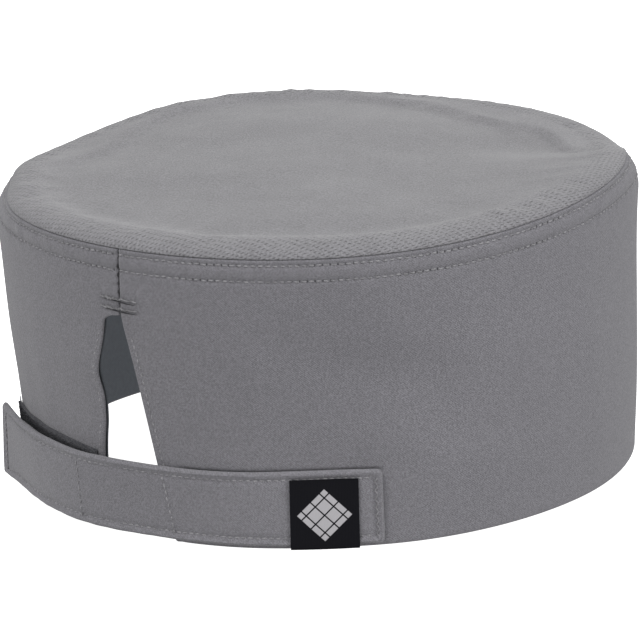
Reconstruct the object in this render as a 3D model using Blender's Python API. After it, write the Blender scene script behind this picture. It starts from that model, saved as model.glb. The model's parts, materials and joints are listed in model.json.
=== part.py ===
"""Chef's skull cap: a low round cap with a mesh crown, a stiff side band, a back opening and an adjusting strap.

Metres, +Z up. The hem stands on z = 0, the closure faces -Y and the wearer's forehead +Y.
Every ring is first made on a round drum about the Z axis, and then settled to the worn shape: a little
shallower and lower at the front. Angles are degrees from the centre back, positive towards +X.
"""

import math

import bmesh
import bpy
from mathutils import Vector

# Driving sizes of the cap
BAND_HEIGHT = 0.089
HEM_RADIUS = 0.0922
SEAM_RADIUS = 0.0980
FRONT_DEPTH = 0.94
FRONT_DROP = 0.0032
CROWN_RISE = 0.0032
ROLL_WIDTH = 0.0090
ROLL_HEIGHT = 0.0032

# Cloth, in the order of the layers from the outside in
FACE_CLOTH = 0.0006
INTERFACING = 0.0004
LINING_CLOTH = 0.0006
MESH_CLOTH = 0.0006
PLY_GAP = 0.0003
SEAM_ALLOWANCE = 0.009
HEM_FOLD = 0.002

# Back opening: its top lies this far below the crown seam
OPENING_DROP = 0.0205
OPENING_TOP_WIDTH = 0.0060
OPENING_HEM_WIDTH = 0.0245

# Strap: a sewn root, a middle over the opening and a tip that peels. The setbacks start at the opening's edge
STRAP_BOTTOM = 0.0015
STRAP_HEIGHT = 0.0225
STRAP_PLY = 0.0007
SWING_SETBACK = 0.0016
PEEL_SETBACK = 0.0103
ROOT_LENGTH = 0.0615
TIP_LENGTH = 0.0480
SEGMENT_GAP = 0.0005

# Hook and loop fastening: the loop tape shows above the strap, and the hook tape stops short of its tip
LOOP_TAPE = {"setback": 0.0018, "length": 0.0640, "shows": 0.0025, "height": 0.0200, "thickness": 0.0012}
HOOK_TAPE = {"from_tip": 0.0024, "length": 0.0340, "height": 0.0185, "thickness": 0.0010}

# Labels
WOVEN_LABEL = {"from_end": 0.0074, "width": 0.0196, "below_top": 0.0022, "thickness": 0.0005, "tuck": 0.0012}
CARE_LABEL = {"width": 0.026, "height": 0.018, "thickness": 0.0004}

# Threads
THREAD_RADIUS = 0.00025
STITCH_MARGIN = 0.0025
STITCH_ROWS = {"topstitch_upper": 0.0017, "topstitch_lower": 0.0065}
TACK_WIDTH = 0.0125
TACK_HEIGHT = 0.0045
TACK_THICKNESS = 0.0008
TACK_CLEARANCE = 0.0015

# Facets
RING_STEPS = 72
STRAP_STEP_ANGLE = 3.0
THREAD_SIDES = 6

# Sizes that follow from the ones above
PLAN_OFFSET = SEAM_RADIUS * (1 - FRONT_DEPTH) / 2
BAND_LEAN = (SEAM_RADIUS - HEM_RADIUS) / BAND_HEIGHT
INTERFACING_DEPTH = FACE_CLOTH + PLY_GAP
LINING_DEPTH = INTERFACING_DEPTH + max(INTERFACING, MESH_CLOTH) + PLY_GAP
BAND_THICKNESS = LINING_DEPTH + LINING_CLOTH
STRAP_THICKNESS = 2 * STRAP_PLY + PLY_GAP
TIP_STANDOFF = LOOP_TAPE["thickness"] + HOOK_TAPE["thickness"] + 3 * PLY_GAP
OPENING_TOP = BAND_HEIGHT - OPENING_DROP
OPENING_SLOPE = (OPENING_HEM_WIDTH - OPENING_TOP_WIDTH) / 2 / OPENING_TOP
TACK_BOTTOM = OPENING_TOP + TACK_CLEARANCE
STRAP_TOP = STRAP_BOTTOM + STRAP_HEIGHT


# ---------------------------------------------------------------- materials


def make_material(name, colour, roughness):
    material = bpy.data.materials.new(name)
    material.use_nodes = True
    shader = material.node_tree.nodes["Principled BSDF"]
    shader.inputs["Base Color"].default_value = (*colour, 1)
    shader.inputs["Roughness"].default_value = roughness
    shader.inputs["Metallic"].default_value = 0
    return material


def make_materials():
    return {
        "crown": make_material("crown_mesh_grey", (0.20, 0.197, 0.208), 0.9),
        "band": make_material("band_twill_grey", (0.19, 0.185, 0.20), 0.85),
        "lining": make_material("lining_slate", (0.15, 0.162, 0.178), 0.9),
        "interfacing": make_material("interfacing_white", (0.80, 0.80, 0.78), 0.95),
        "strap": make_material("strap_twill_grey", (0.19, 0.185, 0.20), 0.85),
        "thread": make_material("thread_grey", (0.30, 0.295, 0.31), 0.6),
        "tape": make_material("hook_and_loop_black", (0.018, 0.018, 0.02), 0.95),
        "label": make_material("woven_label_black", (0.008, 0.008, 0.01), 0.7),
        "paper": make_material("care_label_white", (0.78, 0.78, 0.76), 0.8),
    }


# ---------------------------------------------------------------- the shape of the cap


def settle(point):
    """Moves a point of the round drum to the worn shape, with the cap's box centred on the origin."""
    depth_scale = FRONT_DEPTH if point.y > 0 else 1
    frontness = (1 + point.y / SEAM_RADIUS) / 2
    lowering = FRONT_DROP / BAND_HEIGHT * frontness
    return Vector((point.x, point.y * depth_scale + PLAN_OFFSET, point.z * (1 - lowering)))


def drum_point(angle, height, depth, standoff=0.0):
    """A point at a depth inside the band's outer face. A negative depth is outside the band."""
    radius = HEM_RADIUS + BAND_LEAN * height - depth + standoff
    turn = math.radians(angle)
    return Vector((radius * math.sin(turn), -radius * math.cos(turn), height))


def wall_point(angle, height, depth, standoff=0.0):
    return settle(drum_point(angle, height, depth, standoff))


def angle_of(point):
    return math.degrees(math.atan2(point.x, -point.y))


def angle_across(width, height=0.0):
    """The angle that a width across the back takes up at a height of the band."""
    return math.degrees(width / (HEM_RADIUS + BAND_LEAN * height))


OPENING_ANGLE = angle_across(OPENING_HEM_WIDTH / 2)
SWING_ANGLE = OPENING_ANGLE + angle_across(SWING_SETBACK)
PEEL_ANGLE = -OPENING_ANGLE - angle_across(PEEL_SETBACK)
ROOT_END_ANGLE = SWING_ANGLE + angle_across(ROOT_LENGTH)
TIP_END_ANGLE = PEEL_ANGLE - angle_across(TIP_LENGTH)


def strap_standoff(angle):
    """The strap leaves the band at its sewn end and rises over the hook and loop tapes."""
    share = (SWING_ANGLE - angle) / (SWING_ANGLE - PEEL_ANGLE)
    share = min(max(share, 0.0), 1.0)
    return (TIP_STANDOFF - PLY_GAP) * share * share * (3 - 2 * share)


# ---------------------------------------------------------------- modelling


def new_object(name, mesh, material, collection):
    mesh.name = name
    obj = bpy.data.objects.new(name, mesh)
    collection.objects.link(obj)
    mesh.materials.clear()
    mesh.materials.append(material)
    return obj


def finish_mesh(bm, name, material, collection, sharp_angle=35):
    bmesh.ops.recalc_face_normals(bm, faces=bm.faces)
    mesh = bpy.data.meshes.new(name)
    bm.to_mesh(mesh)
    bm.free()
    mesh.shade_smooth()
    mesh.set_sharp_from_angle(angle=math.radians(sharp_angle))
    return new_object(name, mesh, material, collection)


def spin_section(name, section, material, collection, start=None, end=None, standoff=None):
    """Spins a closed section of (depth, height) corners about the Z axis and settles it to the worn shape.

    With no start and end it goes all the way round. Otherwise both ends are closed.
    """
    whole = start is None
    first = 0.0 if whole else start
    swept = 360.0 if whole else end - start
    steps = RING_STEPS if whole else max(2, round(swept / STRAP_STEP_ANGLE))
    bm = bmesh.new()
    corners = [bm.verts.new(drum_point(first, height, depth)) for depth, height in section]
    edges = [bm.edges.new((corners[i - 1], corners[i])) for i in range(len(corners))]
    bmesh.ops.spin(
        bm,
        geom=corners + edges,
        axis=(0, 0, 1),
        cent=(0, 0, 0),
        angle=math.radians(swept),
        steps=steps,
        use_merge=whole,
    )
    if not whole:
        bmesh.ops.holes_fill(bm, edges=[edge for edge in bm.edges if edge.is_boundary])
        bmesh.ops.triangulate(bm, faces=[face for face in bm.faces if len(face.verts) > 4])
    bmesh.ops.remove_doubles(bm, verts=bm.verts, dist=0.00001)
    for vert in bm.verts:
        if standoff:
            outward = Vector((vert.co.x, vert.co.y, 0)).normalized()
            vert.co += outward * standoff(angle_of(vert.co))
        vert.co = settle(vert.co)
    return finish_mesh(bm, name, material, collection)


def box_section(outer_depth, thickness, bottom, height):
    inner = outer_depth + thickness
    return [(outer_depth, bottom), (outer_depth, bottom + height), (inner, bottom + height), (inner, bottom)]


def thread_tube(name, points, material, collection):
    """A thread laid along points, as a mesh with its ends closed."""
    curve = bpy.data.curves.new(name, "CURVE")
    curve.dimensions = "3D"
    curve.bevel_depth = THREAD_RADIUS
    curve.bevel_resolution = 1
    curve.use_fill_caps = True
    spline = curve.splines.new("POLY")
    spline.points.add(len(points) - 1)
    for target, point in zip(spline.points, points):
        target.co = (*point, 1)
    return mesh_from_curve(name, curve, material, collection)


def mesh_from_curve(name, curve, material, collection):
    """The curve's own mesh with its caps welded, so that it is one closed body."""
    guide = bpy.data.objects.new(name + "_guide", curve)
    collection.objects.link(guide)
    bpy.context.view_layer.update()
    evaluated = guide.evaluated_get(bpy.context.evaluated_depsgraph_get())
    mesh = bpy.data.meshes.new_from_object(evaluated)
    bpy.data.objects.remove(guide)
    bm = bmesh.new()
    bm.from_mesh(mesh)
    bmesh.ops.remove_doubles(bm, verts=bm.verts, dist=0.00001)
    return finish_mesh(bm, name, material, collection)


# ---------------------------------------------------------------- crown


def crown_outline(inset):
    """The crown's profile from its centre to the seam, offset inwards, as (radius, height).

    It is nearly flat, with a soft oval roll down to the seam.
    """
    flat = SEAM_RADIUS - ROLL_WIDTH
    roll_top = BAND_HEIGHT + PLY_GAP + ROLL_HEIGHT
    outline = [
        (flat * share, roll_top + CROWN_RISE * (1 - share * share) - inset)
        for share in (0.0, 0.3, 0.6, 0.85, 1.0)
    ]
    for turn in (22.5, 45, 67.5, 90):
        reach = math.radians(turn)
        radius = flat + (ROLL_WIDTH - inset) * math.sin(reach)
        height = BAND_HEIGHT + PLY_GAP + (ROLL_HEIGHT - inset) * math.cos(reach)
        outline.append((radius, height))
    return outline


def make_crown(materials, collection):
    """The crown sits on the band's top edge and turns down inside it as its seam allowance."""
    seam = BAND_HEIGHT + PLY_GAP
    skirt_bottom = BAND_HEIGHT - SEAM_ALLOWANCE
    skirt_outer = SEAM_RADIUS - INTERFACING_DEPTH
    skirt_inner = skirt_outer - MESH_CLOTH
    lean = BAND_LEAN * SEAM_ALLOWANCE
    profile = crown_outline(0.0)
    profile += [(skirt_outer, seam), (skirt_outer - lean, skirt_bottom)]
    profile += [(skirt_inner - lean, skirt_bottom), (skirt_inner, seam)]
    profile += [point for point in reversed(crown_outline(MESH_CLOTH)) if point[0] < skirt_inner - PLY_GAP]
    bm = bmesh.new()
    corners = [bm.verts.new((0, -radius, height)) for radius, height in profile]
    edges = [bm.edges.new((corners[i], corners[i + 1])) for i in range(len(corners) - 1)]
    bmesh.ops.spin(
        bm,
        geom=corners + edges,
        axis=(0, 0, 1),
        cent=(0, 0, 0),
        angle=math.tau,
        steps=RING_STEPS,
        use_merge=True,
    )
    bmesh.ops.remove_doubles(bm, verts=bm.verts, dist=0.00001)
    for vert in bm.verts:
        vert.co = settle(vert.co)
    return finish_mesh(bm, "crown_panel", materials["crown"], collection)


# ---------------------------------------------------------------- band


def make_opening_cutter(collection):
    """The tall narrow gap at the centre back, rounded at its top and open at the hem."""
    below = 0.004
    top_half = OPENING_TOP_WIDTH / 2
    hem_half = OPENING_HEM_WIDTH / 2 + OPENING_SLOPE * below
    outline = [(-hem_half, -below), (hem_half, -below)]
    for turn in range(0, 181, 30):
        reach = math.radians(turn)
        height = OPENING_TOP - top_half + top_half * math.sin(reach)
        outline.append((top_half * math.cos(reach), height))
    curve = bpy.data.curves.new("opening_cutter", "CURVE")
    curve.dimensions = "2D"
    curve.fill_mode = "BOTH"
    curve.extrude = 0.02
    spline = curve.splines.new("POLY")
    spline.points.add(len(outline) - 1)
    for target, (across, height) in zip(spline.points, outline):
        target.co = (across, height, 0, 1)
    spline.use_cyclic_u = True
    cutter = mesh_from_curve("opening_cutter", curve, bpy.data.materials.new("cutter"), collection)
    cutter.rotation_euler = (math.radians(90), 0, 0)
    cutter.location = (0, PLAN_OFFSET - HEM_RADIUS, 0)
    cutter.hide_render = True
    cutter.display_type = "WIRE"
    return cutter


def cut_opening(piece, cutter):
    cut = piece.modifiers.new("back_opening", "BOOLEAN")
    cut.operation = "DIFFERENCE"
    cut.solver = "EXACT"
    cut.object = cutter


def make_band(materials, collection, cutter):
    """The face cloth folds in at the hem and meets the lining above the fold. The interfacing lies between."""
    fold_inner = BAND_THICKNESS
    fold_outer = LINING_DEPTH
    middle = HEM_FOLD + (BAND_HEIGHT - HEM_FOLD) / 2
    face = [
        (0.0, 0.0),
        (0.0, middle),
        (0.0, BAND_HEIGHT),
        (FACE_CLOTH, BAND_HEIGHT),
        (FACE_CLOTH, middle),
        (FACE_CLOTH, FACE_CLOTH),
        (fold_outer, FACE_CLOTH),
        (fold_outer, HEM_FOLD),
        (fold_inner, HEM_FOLD),
        (fold_inner, 0.0),
    ]
    interfacing_bottom = FACE_CLOTH + PLY_GAP
    interfacing_top = BAND_HEIGHT - SEAM_ALLOWANCE - PLY_GAP
    lining_bottom = HEM_FOLD + PLY_GAP
    lining_top = BAND_HEIGHT - PLY_GAP
    layers = {
        "band_outer": (face, "band"),
        "band_interfacing": (
            box_section(INTERFACING_DEPTH, INTERFACING, interfacing_bottom, interfacing_top - interfacing_bottom),
            "interfacing",
        ),
        "band_lining": (
            box_section(LINING_DEPTH, LINING_CLOTH, lining_bottom, lining_top - lining_bottom),
            "lining",
        ),
    }
    for name, (section, finish) in layers.items():
        layer = spin_section(name, section, materials[finish], collection)
        cut_opening(layer, cutter)


# ---------------------------------------------------------------- stitching


def make_topstitching(materials, collection):
    """Two rows of thread round the band, below the crown seam."""
    depth = -(PLY_GAP + THREAD_RADIUS)
    for name, below_seam in STITCH_ROWS.items():
        section = []
        for side in range(THREAD_SIDES):
            turn = math.tau * side / THREAD_SIDES
            across = depth + THREAD_RADIUS * math.cos(turn)
            section.append((across, BAND_HEIGHT - below_seam + THREAD_RADIUS * math.sin(turn)))
        spin_section(name, section, materials["thread"], collection)


def make_opening_stitching(materials, collection):
    """A row beside each edge of the back opening, from its top down to the strap."""
    highest = OPENING_TOP - OPENING_TOP_WIDTH
    lowest = STRAP_TOP + LOOP_TAPE["shows"] + PLY_GAP
    rows = 10
    for name, side in {"opening_stitch_left": -1, "opening_stitch_right": 1}.items():
        points = []
        for row in range(rows + 1):
            height = lowest + (highest - lowest) * row / rows
            half_width = OPENING_TOP_WIDTH / 2 + OPENING_SLOPE * (OPENING_TOP - height)
            angle = side * angle_across(half_width + STITCH_MARGIN, height)
            points.append(wall_point(angle, height, -(PLY_GAP + THREAD_RADIUS)))
        thread_tube(name, points, materials["thread"], collection)


def make_bar_tack(materials, collection):
    half = angle_across(TACK_WIDTH / 2, TACK_BOTTOM)
    section = box_section(-(PLY_GAP + TACK_THICKNESS), TACK_THICKNESS, TACK_BOTTOM, TACK_HEIGHT)
    spin_section("apex_bar_tack", section, materials["thread"], collection, -half, half)


# ---------------------------------------------------------------- strap and its fastening


def make_strap(materials, collection):
    """Each length has a face ply, turned over the edges of a backing ply."""
    inner = -PLY_GAP
    outer = inner - STRAP_THICKNESS
    behind_face = outer + STRAP_PLY
    face = [
        (outer, STRAP_BOTTOM),
        (outer, STRAP_TOP),
        (inner, STRAP_TOP),
        (inner, STRAP_TOP - STRAP_PLY),
        (behind_face, STRAP_TOP - STRAP_PLY),
        (behind_face, STRAP_BOTTOM + STRAP_PLY),
        (inner, STRAP_BOTTOM + STRAP_PLY),
        (inner, STRAP_BOTTOM),
    ]
    turned_edge = STRAP_PLY + PLY_GAP
    back = box_section(
        inner - STRAP_PLY, STRAP_PLY, STRAP_BOTTOM + turned_edge, STRAP_HEIGHT - 2 * turned_edge
    )
    half_gap = angle_across(SEGMENT_GAP / 2)
    lengths = {
        "root": (SWING_ANGLE + half_gap, ROOT_END_ANGLE),
        "mid": (PEEL_ANGLE + half_gap, SWING_ANGLE - half_gap),
        "tip": (TIP_END_ANGLE, PEEL_ANGLE - half_gap),
    }
    for place, (start, end) in lengths.items():
        for ply, section in {"face": face, "back": back}.items():
            name = f"strap_{ply}_{place}"
            spin_section(name, section, materials["strap"], collection, start, end, strap_standoff)


def make_tapes(materials, collection):
    """The loop tape is sewn to the band, and the hook tape under the strap's tip."""
    loop_depth = -(PLY_GAP + LOOP_TAPE["thickness"])
    loop_end = -OPENING_ANGLE - angle_across(LOOP_TAPE["setback"])
    loop_start = loop_end - angle_across(LOOP_TAPE["length"])
    loop_bottom = STRAP_TOP + LOOP_TAPE["shows"] - LOOP_TAPE["height"]
    loop = box_section(loop_depth, LOOP_TAPE["thickness"], loop_bottom, LOOP_TAPE["height"])
    spin_section("loop_tape", loop, materials["tape"], collection, loop_start, loop_end)
    hook_depth = loop_depth - PLY_GAP - HOOK_TAPE["thickness"]
    hook_start = TIP_END_ANGLE + angle_across(HOOK_TAPE["from_tip"])
    hook_end = hook_start + angle_across(HOOK_TAPE["length"])
    hook_bottom = STRAP_BOTTOM + (STRAP_HEIGHT - HOOK_TAPE["height"]) / 2
    hook = box_section(hook_depth, HOOK_TAPE["thickness"], hook_bottom, HOOK_TAPE["height"])
    spin_section("hook_tape", hook, materials["tape"], collection, hook_start, hook_end)


def make_strap_stitching(materials, collection):
    """Upright rows of thread across the sewn part of the strap, at its free end and beside the opening."""
    depth = -(PLY_GAP + STRAP_THICKNESS + PLY_GAP + THREAD_RADIUS)
    lowest = STRAP_BOTTOM + STITCH_MARGIN
    highest = STRAP_TOP - STITCH_MARGIN
    places = {
        "strap_end_stitch": ROOT_END_ANGLE - angle_across(STITCH_MARGIN),
        "strap_root_stitch": SWING_ANGLE + angle_across(STITCH_MARGIN),
    }
    for name, angle in places.items():
        points = [wall_point(angle, lowest + (highest - lowest) * row / 4, depth) for row in range(5)]
        thread_tube(name, points, materials["thread"], collection)


# ---------------------------------------------------------------- labels


def make_woven_label(materials, collection):
    """A folded label on the strap, with its lower edge turned under the strap."""
    thickness = WOVEN_LABEL["thickness"]
    top = STRAP_TOP - WOVEN_LABEL["below_top"]
    outer = -(2 * PLY_GAP + STRAP_THICKNESS + thickness)
    lip = outer + thickness + WOVEN_LABEL["tuck"]
    lip_top = STRAP_BOTTOM - PLY_GAP
    section = [
        (outer, lip_top - thickness),
        (outer, top),
        (outer + thickness, top),
        (outer + thickness, lip_top),
        (lip, lip_top),
        (lip, lip_top - thickness),
    ]
    end = ROOT_END_ANGLE - angle_across(WOVEN_LABEL["from_end"])
    start = end - angle_across(WOVEN_LABEL["width"])
    spin_section("woven_label", section, materials["label"], collection, start, end)


def make_care_label(materials, collection):
    """A blank label inside the centre front, hanging from just under the crown seam."""
    top = BAND_HEIGHT - SEAM_ALLOWANCE
    half = angle_across(CARE_LABEL["width"] / 2, top)
    section = box_section(
        BAND_THICKNESS + PLY_GAP, CARE_LABEL["thickness"], top - CARE_LABEL["height"], CARE_LABEL["height"]
    )
    spin_section("care_label", section, materials["paper"], collection, 180 - half, 180 + half)


# ---------------------------------------------------------------- assembly


def main():
    for obj in list(bpy.data.objects):
        bpy.data.objects.remove(obj)
    parts = bpy.data.collections.new("chef_toque")
    cutters = bpy.data.collections.new("cutters")
    for collection in (parts, cutters):
        bpy.context.scene.collection.children.link(collection)
    materials = make_materials()
    make_crown(materials, parts)
    make_band(materials, parts, make_opening_cutter(cutters))
    make_topstitching(materials, parts)
    make_opening_stitching(materials, parts)
    make_bar_tack(materials, parts)
    make_strap(materials, parts)
    make_tapes(materials, parts)
    make_strap_stitching(materials, parts)
    make_woven_label(materials, parts)
    make_care_label(materials, parts)


main()
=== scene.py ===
import json
import math

import bpy
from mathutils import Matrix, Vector, noise


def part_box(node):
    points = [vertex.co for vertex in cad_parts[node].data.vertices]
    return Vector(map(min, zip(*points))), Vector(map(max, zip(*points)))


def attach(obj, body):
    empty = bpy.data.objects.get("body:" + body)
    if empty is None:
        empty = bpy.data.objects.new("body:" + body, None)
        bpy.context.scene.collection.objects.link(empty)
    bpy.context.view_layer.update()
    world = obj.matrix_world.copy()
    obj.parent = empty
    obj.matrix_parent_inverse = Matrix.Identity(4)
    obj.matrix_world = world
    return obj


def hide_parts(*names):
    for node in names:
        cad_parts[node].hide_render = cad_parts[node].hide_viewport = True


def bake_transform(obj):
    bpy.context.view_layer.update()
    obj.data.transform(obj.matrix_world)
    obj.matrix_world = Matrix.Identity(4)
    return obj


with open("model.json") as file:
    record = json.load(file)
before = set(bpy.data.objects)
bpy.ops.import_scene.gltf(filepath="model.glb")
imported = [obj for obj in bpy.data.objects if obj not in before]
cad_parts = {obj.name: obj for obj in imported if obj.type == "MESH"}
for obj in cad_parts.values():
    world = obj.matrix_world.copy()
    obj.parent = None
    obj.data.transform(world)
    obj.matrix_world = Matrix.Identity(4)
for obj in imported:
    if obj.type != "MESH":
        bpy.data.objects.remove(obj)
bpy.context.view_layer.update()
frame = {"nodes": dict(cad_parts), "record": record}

print("frame loaded")


# ---- sizes read from the frame, in metres and degrees from the centre back towards +X

def nodePoints(name):
    return [vertex.co for vertex in frame["nodes"][name].data.vertices]


bandLow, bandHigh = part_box("band_outer")
cap = {
    "seamRadius": bandHigh.x,
    "height": bandHigh.z,
    "offset": bandLow.y + bandHigh.x,
    "layerGap": 0.0003,
}
cap["frontDepth"] = (bandHigh.y - cap["offset"]) / cap["seamRadius"]
cap["frontDrop"] = cap["height"] - max(p.z for p in nodePoints("band_outer") if p.y > 0.99 * bandHigh.y)


def angleOf(point):
    return math.degrees(math.atan2(point.x, cap["offset"] - point.y))


def spanOf(name):
    angles = [angleOf(point) for point in nodePoints(name)]
    return min(angles), max(angles)


def reachOf(name):
    return max(math.hypot(point.x, point.y - cap["offset"]) for point in nodePoints(name))


hemPoints = [point for point in nodePoints("band_outer") if point.z < 0.0001]
cap["hemRadius"] = max(point.x for point in hemPoints)
cap["lean"] = (cap["seamRadius"] - cap["hemRadius"]) / cap["height"]
cap["layers"] = cap["hemRadius"] - min(point.x for point in hemPoints if abs(angleOf(point) - 90) < 1)

opening = {
    "top": min(p.z for p in nodePoints("band_outer") if abs(p.x) < 0.00001 and p.y < 0),
    "hemHalf": math.radians(min(abs(angleOf(p)) for p in hemPoints)) * cap["hemRadius"],
    "apex": 0.0007, "topLeft": 0.0056, "arch": 0.0030, "slack": 0.0026, "slackHeight": 0.014,
    "seamHalf": 0.00008, "seamLean": 0.0014,
}

strapLow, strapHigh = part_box("strap_face_root")
strap = {
    "bottom": strapLow.z,
    "top": strapHigh.z,
    "rootEnd": spanOf("strap_face_root")[1],
    "swing": spanOf("strap_face_mid")[1],
    "peel": spanOf("strap_face_tip")[1],
    "tipEnd": spanOf("strap_face_tip")[0],
    "tipRise": reachOf("strap_face_tip") - reachOf("strap_face_root"),
    "thickness": 0.0017,
    "stitchMargin": 0.0025,
    "spring": 0.0013, "springAngle": -28,
}
strap["middle"] = (strap["swing"] + strap["peel"]) / 2


# ---- the soft shape that every cloth piece of the cap follows

# an amount is followed by where it is greatest and by its spread, or its spread on each side
soft = {
    "hemFlare": (0.0018, 128, 36), "hemTuck": (0.0050, 255, 45),
    "hollow": (0.0045, 37, 13), "hollowHeight": (0.044, 0.036, 0.027),
    "seamLifts": ((0.0072, 114, 42, 18), (-0.0040, 276, 24, 24), (-0.0011, 196, 22, 22)),
    "seamInsets": ((0.0043, 128, 22), (0.0050, 308, 18), (0.0022, 270, 26)),
    "shoulder": 0.010,
    "edgeBulge": 0.0009, "edgeShift": 0.0019, "edgeFray": 0.0004, "bulgeHeight": (0.0505, 0.0063, 0.0090),
    "waves": 0.0009, "crownHollows": 0.0022,
}
creases = {"depth": 0.0010, "bottom": 0.023, "top": 0.068, "first": 5, "last": 110}


def clamp(share):
    return min(max(share, 0.0), 1.0)


def ease(share):
    share = clamp(share)
    return share * share * (3 - 2 * share)


def bump(value, centre, spread):
    return math.exp(-(((value - centre) / spread) ** 2))


def lump(x, y, z):
    # smooth noise between about -1 and 1
    return noise.noise(Vector((x, y, z)))


def ringLump(angle, scale, rise):
    # noise that closes on itself round the cap
    turn = math.radians(angle)
    return lump(math.cos(turn) * scale, math.sin(turn) * scale, rise)


def degrees(length, height=0.0):
    return math.degrees(length / (cap["hemRadius"] + cap["lean"] * height))


def lengthOf(angle):
    return math.radians(angle) * cap["hemRadius"]


def signed(angle):
    return angle - 360 if angle > 180 else angle


def lopsided(value, centre, before, after):
    return bump(value, centre, before if value < centre else after)


def seamLift(angle):
    # the crown seam rises on the right, and sinks a little on the left and at the front
    return sum(lift * lopsided(angle % 360, *place) for lift, *place in soft["seamLifts"])


def seamInset(angle):
    return sum(inset * bump(angle % 360, *place) for inset, *place in soft["seamInsets"])


def shoulder(height):
    return clamp((height - cap["height"]) / soft["shoulder"] + 1) ** 2


def bulge(height):
    return lopsided(height, *soft["bulgeHeight"])


def openingEdge(side, height):
    # the turned edge beside the opening, which closes to the back seam above it
    below = opening["top"] - height
    if below <= 0:
        share = min(-below / (cap["height"] - opening["top"]), 1.0)
        return degrees(opening["apex"] + opening["seamLean"] * share + side * opening["seamHalf"], height)
    share = 1 - below / opening["top"]
    if side > 0:
        return degrees(opening["hemHalf"] + (opening["apex"] - opening["hemHalf"]) * share, height)
    across = opening["hemHalf"] + (opening["topLeft"] - opening["hemHalf"]) * share
    across += opening["slack"] * (1 - share) * ease(height / opening["slackHeight"])
    across += soft["edgeShift"] * bulge(height) + soft["edgeFray"] * lump(height * 170, 1.7, 0.4)
    if below < opening["arch"]:
        rest = 1 - below / opening["arch"]
        across = (across + opening["apex"]) * math.sqrt(1 - rest ** 2) - opening["apex"]
    return degrees(-across, height)


def creaseOut(away, height):
    # slanting creases in the band above the sewn strap
    window = ease((height - creases["bottom"]) / 0.010) * ease((creases["top"] - height) / 0.020)
    if window <= 0 or not creases["first"] < away < creases["last"]:
        return 0.0
    across = ease((away - creases["first"]) / 10) * ease((creases["last"] - away) / 30)
    slant = away * 0.115 + height * 95 + 1.6 * lump(away * 0.04, height * 26, 2.0)
    strength = 0.55 + 0.9 * lump(away * 0.05, height * 20, 7.5)
    return creases["depth"] * math.sin(slant) * strength * window * across


def shareOf(name, angle):
    amount, *place = soft[name]
    return amount * bump(angle % 360, *place)


def softOut(angle, height):
    # how far the cloth stands out of the plain leaning wall
    share = clamp(height / cap["height"])
    fade = 1 - share ** 6
    out = shareOf("hemFlare", angle) * (1 - share)
    out -= shareOf("hemTuck", angle) * (1 - share)
    out -= seamInset(angle) * shoulder(height)
    out -= shareOf("hollow", angle) * lopsided(height, *soft["hollowHeight"]) * fade
    out += soft["waves"] * ringLump(angle, 2.3, share * 1.9 + 4.0) * fade * min(1.0, share * 4 + 0.3)
    out += soft["waves"] * 0.35 * ringLump(angle, 9.0, share * 3.0 + 9.0) * fade * min(1.0, share * 3)
    away = signed(angle)
    if -60 < away < 12:
        fromEdge = away - openingEdge(-1, height)
        reach = bump(fromEdge, 0, 8) if fromEdge < 0 else ease(1 - fromEdge)
        out += soft["edgeBulge"] * bulge(height) * reach
    return out + creaseOut(away, height)


def settle(angle, radius, height, liftShare):
    turn = math.radians(angle)
    x, y = radius * math.sin(turn), -radius * math.cos(turn)
    lowering = cap["frontDrop"] / cap["height"] * (1 + y / cap["seamRadius"]) / 2
    depth = cap["frontDepth"] if y > 0 else 1.0
    lift = seamLift(angle) * liftShare
    return Vector((x, y * depth + cap["offset"], height * (1 - lowering) + lift))


def capPoint(angle, height, out=0.0):
    share = clamp(height / cap["height"])
    radius = cap["hemRadius"] + cap["lean"] * height + out + softOut(angle, height)
    return settle(angle, radius, height, share ** 2)


def standoff(angle, height):
    # the free end stands straighter than the band's curve, most of all at its lower edge
    spring = strap["spring"] * min(max((strap["springAngle"] - angle) / 16, 0.0), 1.2) ** 2
    spring *= 1 + 2.0 * clamp((strap["top"] - height) / (strap["top"] - strap["bottom"]))
    return strap["tipRise"] * ease((strap["swing"] - angle) / (strap["swing"] - strap["peel"])) + spring


# ---- shader maths

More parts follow.
